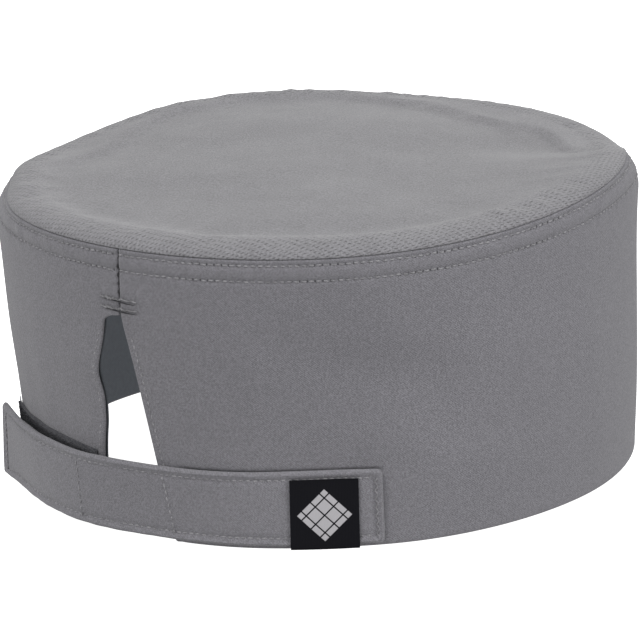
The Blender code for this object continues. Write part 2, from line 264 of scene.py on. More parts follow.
class Wire:
    def __init__(self, tree, socket):
        self.tree = tree
        self.socket = socket

    def make(self, kind, settings, sockets, output=0):
        node = self.tree.nodes.new(kind)
        for name, value in settings.items():
            if name == "stops":
                ramp = node.color_ramp.elements
                while len(ramp) < len(value):
                    ramp.new(0.5)
                for element, (position, colour) in zip(ramp, value):
                    element.position, element.color = position, (*colour, 1)
            else:
                setattr(node, name, value)
        for name, value in sockets.items():
            if isinstance(value, Wire):
                self.tree.links.new(value.socket, node.inputs[name])
            else:
                node.inputs[name].default_value = value
        return Wire(self.tree, node.outputs[output])

    def maths(self, operation, first, second=0.0):
        return self.make("ShaderNodeMath", {"operation": operation}, {0: first, 1: second})

    def __add__(self, other): return self.maths("ADD", self, other)
    def __radd__(self, other): return self.maths("ADD", other, self)
    def __sub__(self, other): return self.maths("SUBTRACT", self, other)
    def __rsub__(self, other): return self.maths("SUBTRACT", other, self)
    def __mul__(self, other): return self.maths("MULTIPLY", self, other)
    def __rmul__(self, other): return self.maths("MULTIPLY", other, self)
    def __truediv__(self, other): return self.maths("DIVIDE", self, other)
    def __pow__(self, other): return self.maths("POWER", self, other)
    def __abs__(self): return self.maths("ABSOLUTE", self)
    def __mod__(self, other): return self.maths("FLOORED_MODULO", self, other)

    def floor(self):
        return self.maths("FLOOR", self)

    def sine(self):
        return self.maths("SINE", self)

    def most(self, other):
        return self.maths("MAXIMUM", self, other)

    def soften(self, low, high, start=0.0, end=1.0):
        # a smooth step from low to high
        sockets = {0: self, 1: low, 2: high, 3: start, 4: end}
        return self.make("ShaderNodeMapRange", {"interpolation_type": "SMOOTHSTEP"}, sockets)

    def noise(self, scale, detail=2.0, roughness=0.5):
        # self is a vector in metres, and scale is in lumps a metre
        sockets = {"Vector": self, "Scale": scale, "Detail": detail, "Roughness": roughness}
        return self.make("ShaderNodeTexNoise", {}, sockets)

    def grain(self, scale, detail=2.0, roughness=0.5):
        # noise stretched to run from -1 to 1
        return self.noise(scale, detail, roughness).soften(0.3, 0.7, -1.0, 1.0)

    def blend(self, first, second):
        # from one colour to another, by self
        return self.make("ShaderNodeMix", {"data_type": "RGBA"}, {0: self, 6: first, 7: second}, 2)

    def split(self):
        return [self.make("ShaderNodeSeparateXYZ", {}, {0: self}, axis) for axis in (0, 1)]


def shade(colour, share):
    return (*(channel * share for channel in colour), 1.0)


def newFinish(name, roughness, sheen=0.0, specular=0.3):
    material = bpy.data.materials.new(name)
    material.use_nodes = True
    tree = material.node_tree
    shader = tree.nodes["Principled BSDF"]
    shader.inputs["Roughness"].default_value = roughness
    shader.inputs["Specular IOR Level"].default_value = specular
    shader.inputs["Sheen Weight"].default_value = sheen
    shader.inputs["Sheen Roughness"].default_value = 0.5
    coordinates = tree.nodes.new("ShaderNodeTexCoord")
    return material, Wire(tree, coordinates.outputs["UV"]), Wire(tree, coordinates.outputs["Object"])


def connect(material, colour, height, depth, strength):
    tree = material.node_tree
    shader = tree.nodes["Principled BSDF"]
    tree.links.new(colour.socket, shader.inputs["Base Color"])
    bumped = height.make("ShaderNodeBump", {}, {"Height": height, "Distance": depth, "Strength": strength})
    tree.links.new(bumped.socket, shader.inputs["Normal"])
    return material


# twill: slanted ribs of broken yarns, with a heathered speckle, and needle holes along the stitch rows that
# carry painted shade
twill = {"rib": 0.00080, "yarn": 0.00045, "contrast": 0.19, "speckle": 0.34, "mottle": 0.04}


def makeTwill(name, colour, holeRows=(), holePitch=0.003):
    material, uv, place = newFinish(name, 0.88, sheen=0.25, specular=0.15)
    along, up = uv.split()
    wander = uv.noise(420, 2) * 1.3
    ribs = ((along + up * 1.15) * (math.tau / twill["rib"]) + wander * 2.2).sine()
    yarns = (up * (math.tau / twill["yarn"]) + along * 900 + wander * 3).sine()
    weave = ribs * 0.6 + yarns * ribs * 0.4
    speckle = place.grain(2300, 2, 0.6)
    mottle = place.grain(800, 2)
    tone = 0.5 + weave * twill["contrast"] + speckle * twill["speckle"] + mottle * twill["mottle"]
    cloth = tone.blend(shade(colour, 0.66), shade(colour, 1.34))
    height = weave * 0.35 + speckle * 0.25 + 0.5
    for row in holeRows:
        across = abs(up - row).soften(0.00022, 0.00050, 1.0, 0.0)
        beat = abs((along / holePitch) % 1.0 - 0.5)
        holesAndShade = across * beat.soften(0.36, 0.47)
        # the holes are painted near-black, as painted shade inside them
        cloth = holesAndShade.blend(cloth, shade(colour, 0.30))
        height = height - holesAndShade * 1.2
    return connect(material, cloth, height, 0.00016, 0.75)


# vented knit: staggered rows of small slanted pits with painted shade in them, deeper near the rim, and a
# painted highlight that lightens the cloth towards the rim
crownKnit = {"across": 0.00140, "along": 0.00210, "pitShade": 0.95, "rim": 0.091, "rimHighlight": 0.14}


def makeCrownKnit(name, colour):
    material, uv, place = newFinish(name, 0.9, sheen=0.3, specular=0.15)
    along, up = uv.split()
    row = (up / crownKnit["along"]).floor()
    side = (along / crownKnit["across"] + row * 0.5 + uv.noise(300, 1) * 0.25) % 1.0 - 0.5
    rise = (up / crownKnit["along"]) % 1.0 - 0.5
    slant = side - rise * 0.45
    far = (slant * slant * 5.2 + rise * rise * 1.25) ** 0.5
    reach = (along * along + up * up) ** 0.5
    rim = crownKnit["rim"]
    # the pits are painted dark as the shade inside the vents, strongest near the rim
    shadedPits = far.soften(0.16, 0.44, 1.0, 0.0) * reach.soften(rim - 0.006, rim, 0.16, 1.0)
    speckle = place.grain(2000, 2, 0.6)
    patches = place.grain(90, 3)
    # a painted highlight: the rolled rim is painted lighter where it turns towards the light
    rimHighlight = reach.soften(rim - 0.018, rim, 0.0, crownKnit["rimHighlight"])
    tone = 0.60 - shadedPits * crownKnit["pitShade"] + rimHighlight + speckle * 0.30 + patches * 0.05
    cloth = tone.blend(shade(colour, 0.50), shade(colour, 1.34))
    return connect(material, cloth, 0.6 - shadedPits * 0.8 + speckle * 0.12, 0.00022, 0.8)


def makeLining(name, colour):
    material, uv, place = newFinish(name, 0.92, specular=0.1)
    along, up = uv.split()
    ribs = ((along - up) * (math.tau / 0.0007)).sine()
    speckle = place.grain(1000, 2)
    cloth = (0.5 + ribs * 0.15 + speckle * 0.12).blend(shade(colour, 0.8), shade(colour, 1.2))
    return connect(material, cloth, ribs, 0.00008, 0.5)


def makeFelt(name, colour, contrast, scale, depth):
    material, uv, place = newFinish(name, 0.95, sheen=0.1, specular=0.1)
    fibres = place.noise(scale, 4, 0.75).soften(0.25, 0.75, -1.0, 1.0)
    cloth = (0.5 + fibres * 0.5).blend(shade(colour, 1 - contrast), shade(colour, 1 + contrast))
    return connect(material, cloth, fibres, depth, 0.8)


def makeThread(name, colour, contrast=0.35):
    material, uv, place = newFinish(name, 0.55, sheen=0.2, specular=0.3)
    around, along = uv.split()
    plies = ((around * 2 + along * 5) * math.tau).sine()
    tint = place.grain(700, 2)
    cloth = (0.5 + plies * 0.3 + tint * 0.35).blend(shade(colour, 1 - contrast), shade(colour, 1 + contrast))
    return connect(material, cloth, plies, 0.00005, 0.8)


# woven label: black satin with a plain harlequin block of light lozenges
labelWeave = {"pick": 0.00030, "warp": 0.00042, "block": 0.0156, "count": 3, "line": 0.055}


def makeLabelWeave(name, ground, figure):
    material, uv, place = newFinish(name, 0.8, specular=0.04)
    along, up = uv.split()
    size = labelWeave["block"] / labelWeave["count"]
    half = labelWeave["block"] / 2
    edge = 0.5 - labelWeave["line"]
    cellLeft = abs((along + up) * (1 / size) % 1.0 - 0.5)
    cellRight = abs((along - up) * (1 / size) % 1.0 - 0.5)
    inCell = cellLeft.most(cellRight).soften(edge - 0.02, edge + 0.02, 1.0, 0.0)
    inBlock = (abs(along) + abs(up)).soften(half - 0.0001, half + 0.0001, 1.0, 0.0)
    mask = inCell * inBlock
    picks = (up * (math.tau / labelWeave["pick"])).sine()
    warps = (along * (math.tau / labelWeave["warp"]) + picks * 0.6).sine()
    satin = 0.5 + picks * 0.28 + warps * 0.12
    dark = satin.blend(shade(ground, 0.6), shade(ground, 1.7))
    light = satin.blend(shade(figure, 0.86), shade(figure, 1.1))
    return connect(material, mask.blend(dark, light), satin + mask * 0.5, 0.00007, 0.8)


slotColours = {m["slot"]: m["base_color"] for m in frame["record"]["materials"]}


def tinted(slotName, share):
    return [share * channel for channel in slotColours[slotName]]


print("finishes ready")


# ---- workshop

def onlySelect(piece):
    bpy.ops.object.select_all(action="DESELECT")
    piece.select_set(True)
    bpy.context.view_layer.objects.active = piece


def named(name):
    piece = bpy.context.object
    piece.name = piece.data.name = name
    return piece


def applyTo(piece, kind, **settings):
    onlySelect(piece)
    modifier = piece.modifiers.new(kind.lower(), kind)
    for name, value in settings.items():
        setattr(modifier, name, value)
    bpy.ops.object.modifier_apply(modifier=modifier.name)


def joined(parts, name):
    onlySelect(parts[0])
    for part in parts:
        part.select_set(True)
    bpy.ops.object.join()
    return named(name)


def spaced(start, end, steps):
    return [start + (end - start) * step / steps for step in range(steps)]


def cutCloth(name, columns, rows, rule):
    # a flat grid of cloth, laid where the rule puts each of its crossings
    bpy.ops.object.select_all(action="DESELECT")
    bpy.ops.mesh.primitive_grid_add(x_subdivisions=columns, y_subdivisions=rows, size=1)
    piece = named(name)
    marks = []
    for vertex in piece.data.vertices:
        column = round((vertex.co.x + 0.5) * columns)
        row = round((vertex.co.y + 0.5) * rows)
        vertex.co, mark = rule(column, row)
        marks.append(mark)
    grain = piece.data.uv_layers.active.data
    for loop in piece.data.loops:
        grain[loop.index].uv = marks[loop.vertex_index]
    return piece


def repeat(piece, count, step):
    applyTo(
        piece, "ARRAY", count=count,
        use_relative_offset=False, use_constant_offset=True, constant_offset_displace=step,
    )


def smooth(piece, angle=50):
    onlySelect(piece)
    bpy.ops.object.shade_smooth_by_angle(angle=math.radians(angle))


def weld(piece):
    onlySelect(piece)
    bpy.ops.object.mode_set(mode="EDIT")
    bpy.ops.mesh.select_all(action="SELECT")
    bpy.ops.mesh.remove_doubles(threshold=0.000005)
    bpy.ops.mesh.select_all(action="DESELECT")
    bpy.ops.mesh.select_mode(type="EDGE")
    bpy.ops.mesh.select_non_manifold()
    bpy.ops.mesh.edge_face_add()
    bpy.ops.mesh.select_all(action="SELECT")
    bpy.ops.mesh.normals_make_consistent(inside=False)
    bpy.ops.object.mode_set(mode="OBJECT")


def dress(piece, finish, slotName, *nodes):
    piece.data.materials.clear()
    piece.data.materials.append(finish)
    if nodes:
        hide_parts(*nodes)


def foldPath(distance, radius, depth):
    # along the cloth past a turned edge: (distance from the edge, depth below the face)
    arc = math.pi * radius
    if distance >= 0:
        return radius + distance, 0.0
    if distance > -arc:
        turn = -distance / radius
        return radius - radius * math.sin(turn), depth * (1 - math.cos(turn)) / 2
    return radius - distance - arc, depth


# ---- band: one strip of face cloth, turned in at the hem and at both sides of the opening

bandCloth = {
    "thickness": 0.0005,
    "hemRound": 0.0011, "hemLeg": 0.0011,
    "sideRound": 0.0009, "sideLeg": 0.0040, "leftDepth": 0.0010,
    "seamRound": 0.0007,
    "columns": 420,
    "rowUpper": 0.0017, "rowLower": 0.0065, "rowInset": {1: 0.0024, -1: 0.0017},
    "groove": 0.00034, "gathers": 0.00040, "ridge": 0.00022, "strapDent": 0.0007,
    "edgeGroove": 0.00030, "edgeRidge": 0.00016, "stitchPitch": 0.0021,
}
stitchHeights = [cap["height"] - bandCloth["rowUpper"], cap["height"] - bandCloth["rowLower"]]


def bandRelief(angle, height):
    # grooves where the rows of thread pull the cloth in, and the puckers beside them
    away = signed(angle)
    middle = sum(stitchHeights) / 2
    relief = 0.0
    for row in stitchHeights:
        relief -= bandCloth["groove"] * bump(height, row, 0.0007)
    relief += bandCloth["gathers"] * ringLump(angle, 32, height * 60) * bump(height, middle, 0.0055)
    relief += bandCloth["ridge"] * bump(height, middle, 0.0018)
    alongRoot = ease((away - strap["swing"]) / 3) * ease((strap["rootEnd"] - away) / 1.5 + 0.5)
    relief -= bandCloth["strapDent"] * bump(height, strap["top"] - 0.0009, 0.0007) * alongRoot
    if height < opening["top"] - 0.002:
        for side in (-1, 1):
            fromEdge = abs(lengthOf(away - openingEdge(side, height)))
            relief -= bandCloth["edgeGroove"] * bump(fromEdge, bandCloth["rowInset"][side], 0.0006)
            relief += bandCloth["edgeRidge"] * bump(fromEdge, 0.0008, 0.0007)
    return relief


def makeBand():
    hemArc, sideArc = math.pi * bandCloth["hemRound"], math.pi * bandCloth["sideRound"]
    wallTop = cap["height"] - bandCloth["seamRound"] - bandCloth["hemRound"]
    rowMarks = spaced(-hemArc - bandCloth["hemLeg"], -hemArc, 2) + spaced(-hemArc, 0, 8)
    # closer rows at the strap's upper edge, at the top of the opening and at the stitch rows
    lips = [0, strap["top"] - 0.0035, strap["top"] + 0.0015]
    lips += [opening["top"] - 0.0050, opening["top"], wallTop - 0.0095, wallTop]
    for low, high, steps in zip(lips, lips[1:], (12, 12, 21, 14, 6, 19)):
        rowMarks += spaced(low, high, steps)
    rolled = spaced(0, 1, 5) + [1.0]
    sides = spaced(-sideArc - bandCloth["sideLeg"], -sideArc, 3) + spaced(-sideArc, 0, 6)
    rows = len(rowMarks) + len(rolled) - 1
    columns = bandCloth["columns"] + 2 * len(sides)
    depth = cap["layers"] - bandCloth["thickness"]
    sideRound = bandCloth["sideRound"]

    def rule(column, row):
        hemDepth, sideDepth, over = 0.0, 0.0, 0.0
        if row < len(rowMarks):
            rise, hemDepth = foldPath(rowMarks[row], bandCloth["hemRound"], depth)
            grain = rowMarks[row] + bandCloth["hemRound"]
        else:
            turn = rolled[row - len(rowMarks)] * math.pi / 2
            rise = grain = cap["height"] - bandCloth["seamRound"] * (1 - math.sin(turn))
            over = bandCloth["seamRound"] * (1 - math.cos(turn))
        height = max(rise, 0.0)
        right, left = openingEdge(1, height), openingEdge(-1, height)
        inset = degrees(sideRound, height)
        if column < len(sides):
            across, sideDepth = foldPath(sides[column], sideRound, depth)
            angle = right + degrees(across, height)
        elif column > columns - len(sides):
            across, sideDepth = foldPath(sides[columns - column], sideRound, bandCloth["leftDepth"])
            angle = 360 + left - degrees(across, height)
        else:
            share = (column - len(sides)) / bandCloth["columns"]
            angle = right + inset + share * (360 + left - right - 2 * inset)
        inside = depth - (depth - hemDepth) * (depth - sideDepth) / depth
        inside += 0.0004 * hemDepth * sideDepth / depth ** 2
        out = -inside - over + bandRelief(angle, height) * (1 - inside / depth)
        return capPoint(angle, height, out), (lengthOf(angle), grain)

    piece = cutCloth("bandCloth", columns, rows, rule)
    applyTo(piece, "SOLIDIFY", thickness=bandCloth["thickness"], offset=-1.0)
    smooth(piece, 60)
    finish = makeTwill("bandTwill", slotColours["band_twill"], stitchHeights, bandCloth["stitchPitch"])
    dress(piece, finish, "band_twill", "band_outer")
    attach(piece, "cap")
    return piece


liningCloth = {
    "bottom": 0.0011, "belowSeam": 0.0006, "setback": 0.0006, "tuck": 0.0007,
    "inside": 0.00245, "thickness": 0.0005, "columns": 400, "rows": 60,
}
interfacingSheet = {
    "bottom": 0.0026, "belowSeam": 0.0096, "setback": 0.0052, "tuck": 0.0,
    "inside": 0.0010, "thickness": 0.0004, "columns": 300, "rows": 40,
}


def makeLayer(name, layer, finish, slotName, node):
    # a plain layer inside the band, from one side of the opening round to the other
    bottom, top = layer["bottom"], cap["height"] - layer["belowSeam"]

    def rule(column, row):
        height = bottom + (top - bottom) * row / layer["rows"]
        right = openingEdge(1, height) + degrees(layer["setback"], height)
        left = openingEdge(-1, height) - degrees(layer["setback"] + layer["tuck"], height)
        angle = right + (360 + left - right) * column / layer["columns"]
        return capPoint(angle, height, -layer["inside"]), (lengthOf(angle), height)

    piece = cutCloth(name, layer["columns"], layer["rows"], rule)
    applyTo(piece, "SOLIDIFY", thickness=layer["thickness"], offset=-1.0)
    smooth(piece, 60)
    dress(piece, finish, slotName, node)
    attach(piece, "cap")


band = makeBand()
print("band", len(band.data.polygons))
slate = makeLining("liningSlate", slotColours["lining_cloth"])
makeLayer("liningCloth", liningCloth, slate, "lining_cloth", "band_lining")
fleece = makeFelt("interfacingFelt", slotColours["interfacing"], 0.12, 2600, 0.0001)
makeLayer("interfacingSheet", interfacingSheet, fleece, "interfacing", "band_interfacing")
print("inner layers")


# ---- crown: a round cut of vented knit, rolled over the seam and turned down inside the band

crownCloth = {
    "thickness": 0.0006, "rollWidth": 0.0090, "rollHeight": 0.0032, "rise": 0.0032,
    "skirt": 0.0078, "skirtDepth": 0.0010,
    "overRoll": 0.0100, "overTuck": 0.0108,
    "rings": 62, "openRings": 30, "rollRings": 20,
    "gathers": 0.0009, "sag": 0.0022, "heldReach": 1.15, "frames": 18,
}
knit = {
    "quality": 6, "mass": 0.05, "shrink_min": -0.010,
    "tension_stiffness": 18, "compression_stiffness": 12, "shear_stiffness": 8, "bending_stiffness": 0.35,
    "tension_damping": 12, "compression_damping": 12,
}


def crownRing(ring, fullness=1.0):
    # (radius, height, distance along the cloth) of each ring, from the centre out
    flat = cap["seamRadius"] - crownCloth["rollWidth"]
    seam = cap["height"] + cap["layerGap"]
    if ring <= crownCloth["openRings"]:
        share = ring / crownCloth["openRings"]
        reach = flat * (share * 1.25 - 0.25 * share ** 2)
        roll = crownCloth["rollHeight"] * (1 + (fullness - 1) * share ** 2)
        return reach, seam + roll + crownCloth["rise"] * (1 - (reach / flat) ** 2), reach
    rolled = ring - crownCloth["openRings"]
    if rolled <= crownCloth["rollRings"]:
        turn = math.pi / 2 * rolled / crownCloth["rollRings"]
        reach = flat + (crownCloth["rollWidth"] - 0.0002) * math.sin(turn)
        height = seam + crownCloth["rollHeight"] * fullness * math.cos(turn)
        return reach, height, flat + crownCloth["overRoll"] * turn / (math.pi / 2)
    down = rolled - crownCloth["rollRings"]
    last = crownCloth["rings"] - crownCloth["openRings"] - crownCloth["rollRings"]
    inner = cap["seamRadius"] - crownCloth["skirtDepth"]
    tucks = [(inner + 0.0004, seam - 0.0001), (inner, seam - 0.0005)]
    if down <= len(tucks):
        return (*tucks[down - 1], flat + crownCloth["overRoll"] + 0.0004 * down)
    share = (down - len(tucks)) / (last - len(tucks))
    drop = crownCloth["skirt"] * share
    return inner - cap["lean"] * drop, seam - 0.0005 - drop, flat + crownCloth["overTuck"] + drop


def crownSpot(column, row):
    # concentric squares of the grid become rings
    rings = crownCloth["rings"]
    a, b = column - rings, row - rings
    if a == 0 and b == 0:
        return 0, 0.0
    if abs(a) > abs(b):
        ring, turn = abs(a), 45 * b / a + (180 if a < 0 else 0)
    else:
        ring, turn = abs(b), 90 - 45 * a / b + (180 if b < 0 else 0)
    return ring, turn + 90


def crownRule(column, row):
    ring, angle = crownSpot(column, row)
    fullness = 1 - 0.6 * bump(angle % 360, 140, 26) - 0.35 * bump(angle % 360, 276, 26)
    radius, height, along = crownRing(ring, fullness)
    share = radius / cap["seamRadius"]
    radius -= seamInset(angle) * (share ** 3 if height > cap["height"] else shoulder(height))
    turn = math.radians(angle)
    x, y = radius * math.sin(turn), radius * math.cos(turn)
    if ring < crownCloth["openRings"] + crownCloth["rollRings"]:
        fade = 1 - ease((share - 0.80) / 0.20)
        hollows = lump(x * 19, y * 19, 3.7) + 0.3 * lump(x * 46, y * 46, 8.2)
        height += soft["crownHollows"] * hollows * (0.15 + 0.85 * fade) * (1 - ease((share - 0.97) / 0.03))
        gathers = lump(math.sin(turn) * 26, math.cos(turn) * 26, 1.3)
        height += crownCloth["gathers"] * gathers * bump(share, 0.93, 0.045)
    place = settle(angle, radius, height, min(share, 1.0) ** 3)
    return place, (along * math.sin(turn), -along * math.cos(turn))


def letSag(piece):
    # the knit settles under its own weight inside its held edge, and no point may move far
    rest = [vertex.co.copy() for vertex in piece.data.vertices]
    held = piece.vertex_groups.new(name="held")
    edge = cap["seamRadius"] - crownCloth["rollWidth"] * crownCloth["heldReach"]
    for vertex in piece.data.vertices:
        reach = math.hypot(vertex.co.x, vertex.co.y - cap["offset"])
        if reach > edge * 0.97 or vertex.co.z < cap["height"]:
            held.add([vertex.index], 1.0, "REPLACE")
    onlySelect(piece)
    cloth = piece.modifiers.new("cloth", "CLOTH")
    for name, value in knit.items():
        setattr(cloth.settings, name, value)
    cloth.settings.vertex_group_mass = "held"
    cloth.point_cache.frame_start = 1
    cloth.point_cache.frame_end = crownCloth["frames"]
    for step in range(1, crownCloth["frames"] + 1):
        bpy.context.scene.frame_set(step)
    bpy.ops.object.modifier_apply(modifier=cloth.name)
    piece.vertex_groups.clear()
    limit = crownCloth["sag"]
    for vertex, start in zip(piece.data.vertices, rest):
        moved = vertex.co - start
        if moved.length > 0:
            vertex.co = start + moved.normalized() * limit * math.tanh(moved.length / limit)
    bpy.context.scene.frame_set(1)


def makeCrown():
    rings = crownCloth["rings"]
    piece = cutCloth("crownCloth", 2 * rings, 2 * rings, crownRule)
    letSag(piece)
    applyTo(piece, "SOLIDIFY", thickness=crownCloth["thickness"], offset=-1.0)
    smooth(piece, 60)
    dress(piece, makeCrownKnit("crownKnit", tinted("crown_mesh", 0.95)), "crown_mesh", "crown_panel")
    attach(piece, "cap")
    cut = crownRing(rings)[2]
    2 * cut
    2 * cut
    math.pi * cut ** 2
    return piece


crown = makeCrown()
print("crown", len(crown.data.polygons))


# ---- stitching

thread = {"radius": 0.00029, "length": 0.00175, "arch": 0.00040, "proud": 0.00006}


def sewRow(name, count, pitch, rule, length=thread["length"], radius=thread["radius"], arch=thread["arch"]):
    # one stitch lying along X, repeated, and each laid where the rule puts it: (along, across, out)
    bpy.ops.object.select_all(action="DESELECT")
    bpy.ops.mesh.primitive_uv_sphere_add(segments=6, ring_count=6, radius=1, rotation=(0, math.pi / 2, 0))
    piece = named(name)
    piece.scale = (radius * 0.85, radius, length / 2)
    bpy.ops.object.transform_apply(location=False, rotation=True, scale=True)
    if count > 1:
        repeat(piece, count, (pitch, 0, 0))
    for vertex in piece.data.vertices:
        index = round(vertex.co.x / pitch)
        off = vertex.co.x - index * pitch
        stray = lump(index * 1.7, len(name) * 0.61, 5.0)
        across = vertex.co.y + stray * radius * 0.7 + off * stray * 0.16
        out = vertex.co.z + thread["proud"] - arch * (2 * off / length) ** 2
        vertex.co = rule(vertex.co.x, across, out, index)
    smooth(piece, 80)
    return piece


threadGrey = makeThread("threadGrey", tinted("thread", 0.85))
# near-black thread used as painted shade: the shadow under the bar tack and the dark line of the back seam
threadShade = makeThread("threadShade", (0.035, 0.034, 0.038), 0.4)


def ringRow(name, height, node):
    pitch = bandCloth["stitchPitch"]
    count = int(math.tau * cap["seamRadius"] / pitch)
    start = openingEdge(1, height) + 0.6

    def rule(along, across, out, index):
        angle = start + 358.8 * along / (count * pitch)
        return capPoint(angle, height + across, out + bandRelief(angle, height) + 0.00016)

    piece = sewRow(name, count, pitch, rule)
    dress(piece, threadGrey, "thread", node)
    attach(piece, "cap")


ringRow("topstitchUpper", stitchHeights[0], "topstitch_upper")
ringRow("topstitchLower", stitchHeights[1], "topstitch_lower")


def edgeRow(name, side, node):
    pitch = bandCloth["stitchPitch"]
    lowest, highest = 0.0025, opening["top"] - 0.0045

    def rule(along, across, out, index):
        height = lowest + along
        angle = openingEdge(side, height) + side * degrees(bandCloth["rowInset"][side] + across, height)
        return capPoint(angle, height, out + bandRelief(angle, height) + 0.00014)

    piece = sewRow(name, int((highest - lowest) / pitch), pitch, rule)
    dress(piece, threadGrey, "thread", node)
    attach(piece, "cap")


edgeRow("openingStitchRight", 1, "opening_stitch_right")
edgeRow("openingStitchLeft", -1, "opening_stitch_left")

# the back seam above the opening is drawn together by short upright stitches, in near-black thread as painted
# shade along the seam line
backSeam = {"count": 4, "pitch": 0.0026, "length": 0.0015, "aboveTop": 0.0074}


def seamRule(along, across, out, index):
    height = opening["top"] + backSeam["aboveTop"] + along
    angle = (openingEdge(1, height) + openingEdge(-1, height)) / 2 + degrees(across, height)
    return capPoint(angle, height, out - 0.0001)


backStitches = sewRow("backSeamStitches", backSeam["count"], backSeam["pitch"], seamRule, backSeam["length"])
# near-black stitches: painted shade of the seam line
dress(backStitches, threadShade, "thread")
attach(backStitches, "cap")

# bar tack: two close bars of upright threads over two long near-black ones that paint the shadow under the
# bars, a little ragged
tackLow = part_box("apex_bar_tack")[0].z
tack = {
    "left": spanOf("apex_bar_tack")[0], "right": spanOf("apex_bar_tack")[1], "shift": 0.53,
    "pitch": 0.00055, "bars": (0.0008, 0.0038), "barLength": 0.0017, "barRadius": 0.00036, "barArch": 0.0005,
    "runs": (-0.0001, 0.0029), "runRadius": 0.00022, "runArch": 0.0003,
}


def makeBarTack():
    width = math.radians(tack["right"] - tack["left"]) * cap["seamRadius"]
    count = int(width / tack["pitch"])
    first = tack["left"] + tack["shift"]
    bars, runs = [], []
    for number, rise in enumerate(tack["bars"]):
        def rule(along, across, out, index):
            # the thread lies along X here and stands upright on the cap
            column = index * tack["pitch"]
            off = along - column
            ragged = lump(index * 0.9, number * 3.0, 2.0)
            angle = first + degrees(column + across + off * 0.25, tackLow)
            return capPoint(angle, tackLow + rise + off + ragged * 0.0010, out + 0.00048 + ragged * 0.0003)

        bars.append(sewRow(
            f"tackBar{number}", count, tack["pitch"], rule,
            tack["barLength"], tack["barRadius"], tack["barArch"],
        ))
    for number, rise in enumerate(tack["runs"]):
        def rule(along, across, out, index):
            stray = 0.0004 * lump(along * 400, rise * 900, 1.0)
            angle = first + degrees(width / 2 + along, tackLow)
            return capPoint(angle, tackLow + rise + across + stray, out + 0.00012)

        runs.append(sewRow(
            f"tackRun{number}", 1, 1.0, rule, width * 1.04, tack["runRadius"], tack["runArch"],
        ))
        applyTo(runs[-1], "SUBSURF", levels=1)
    barTack = joined(bars, "barTack")
    dress(barTack, threadGrey, "thread", "apex_bar_tack")
    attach(barTack, "cap")
    # the long runs are near-black as the painted shadow under the bars
    barTackShadowRuns = joined(runs, "barTackShadowRuns")
    dress(barTackShadowRuns, threadShade, "thread")
    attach(barTackShadowRuns, "cap")


makeBarTack()
print("stitching")


# ---- strap: two cloth lengths that meet in the middle of the opening, turned at every edge

strapCloth = {
    "step": 0.0009, "rows": 46, "round": 0.00085, "corner": 0.0016, "tipCorner": 0.0006, "crowded": 0.006,
    "bead": 0.00040, "pinch": 0.00042, "ripple": 0.00028, "edgeRipple": 0.00025,
    "pitch": 0.0020, "endPitch": 0.0013, "endSlant": 0.0009, "fineThread": 0.00022,
    "swingFrom": 8.0, "swingTo": 1.5, "peelReach": 3.5,
}


def strapThickness(fromEdge):
    bead = strapCloth["bead"] * bump(fromEdge, 0.0010, 0.0008)
    pinch = strapCloth["pinch"] * bump(fromEdge, strap["stitchMargin"], 0.0007)
    return strap["thickness"] - 0.0001 + bead - pinch


def strapOuter(angle, height, fromEdge):
    return cap["layerGap"] + standoff(angle, height) + strapThickness(fromEdge)


def strapRipple(angle, height):
    edge = bump(height, strap["top"], 0.004) + bump(height, strap["bottom"], 0.004)
    wave = strapCloth["ripple"] * lump(angle * 0.09, height * 60, 6.0)
    return wave + strapCloth["edgeRipple"] * edge * lump(angle * 0.42, 3.3, height * 20)


def makeStrapLength(name, start, end, endCorner, startFree, finish, nodes):
    # one of its ends is turned and free, the first one if startFree, and the other is cut flat
    middleHeight = (strap["top"] + strap["bottom"]) / 2
    tall = strap["top"] - strap["bottom"]
    run = lengthOf(end - start)
    columns, rows = int(run / strapCloth["step"]), strapCloth["rows"]
    crowded = strapCloth["crowded"]

    def rule(column, row):
        along = run * column / columns
        fromFree = along if startFree else run - along
        if fromFree < crowded:
            fromFree = crowded * (fromFree / crowded) ** 1.6
            along = fromFree if startFree else run - fromFree
        angle = start + degrees(along)
        turn = math.tau * row / rows
        rise = -math.cos(turn) * tall / 2
        fromLong = tall / 2 - abs(rise)
        if fromFree < endCorner:
            rounded = endCorner - math.sqrt(max(endCorner ** 2 - (endCorner - fromFree) ** 2, 0))
            rise *= 1 - 2 * rounded / tall
        height = middleHeight + rise
        thick = strapThickness(min(fromLong, fromFree))
        edges = [min(distance / strapCloth["round"], 1.0) for distance in (fromLong, fromFree)]
        closing = math.prod(math.sqrt(1 - (1 - share) ** 2) for share in edges)
        inner = turn > math.pi
        out = thick / 2 + (-0.5 if inner else 0.5) * thick * closing
        out += cap["layerGap"] + standoff(angle, height) + (0 if inner else strapRipple(angle, height))
        # the inner face takes another stretch of the weave
        return capPoint(angle, height, out), (along, rise + (0.1 if inner else 0.0))

    piece = cutCloth(name, columns, rows, rule)
    weld(piece)
    smooth(piece, 50)
    dress(piece, finish, "band_twill", *nodes)
    tall + 0.002
    return piece


def strapRows(name, places):
    # every row of one strap length: (count, pitch, rule, options)
    rows = []
    for number, (count, pitch, rule, options) in enumerate(places):
        rows.append(sewRow(f"{name}Row{number}", count, pitch, rule, **options))
    return joined(rows, name)


def onStrap(angle, height, out, fromEdge):
    return capPoint(angle, height, out + strapOuter(angle, height, fromEdge) + strapRipple(angle, height))


def alongStrap(first, run, top):
    # a row along one long edge, from an angle and within a run
    pitch, margin = strapCloth["pitch"], strap["stitchMargin"]
    edge = strap["top"] - margin if top else strap["bottom"] + margin

    def rule(along, across, out, index):
        return onStrap(first + degrees(along), edge + across, out + 0.00010, margin)
    return int((run - 0.003) / pitch), pitch, rule, {}


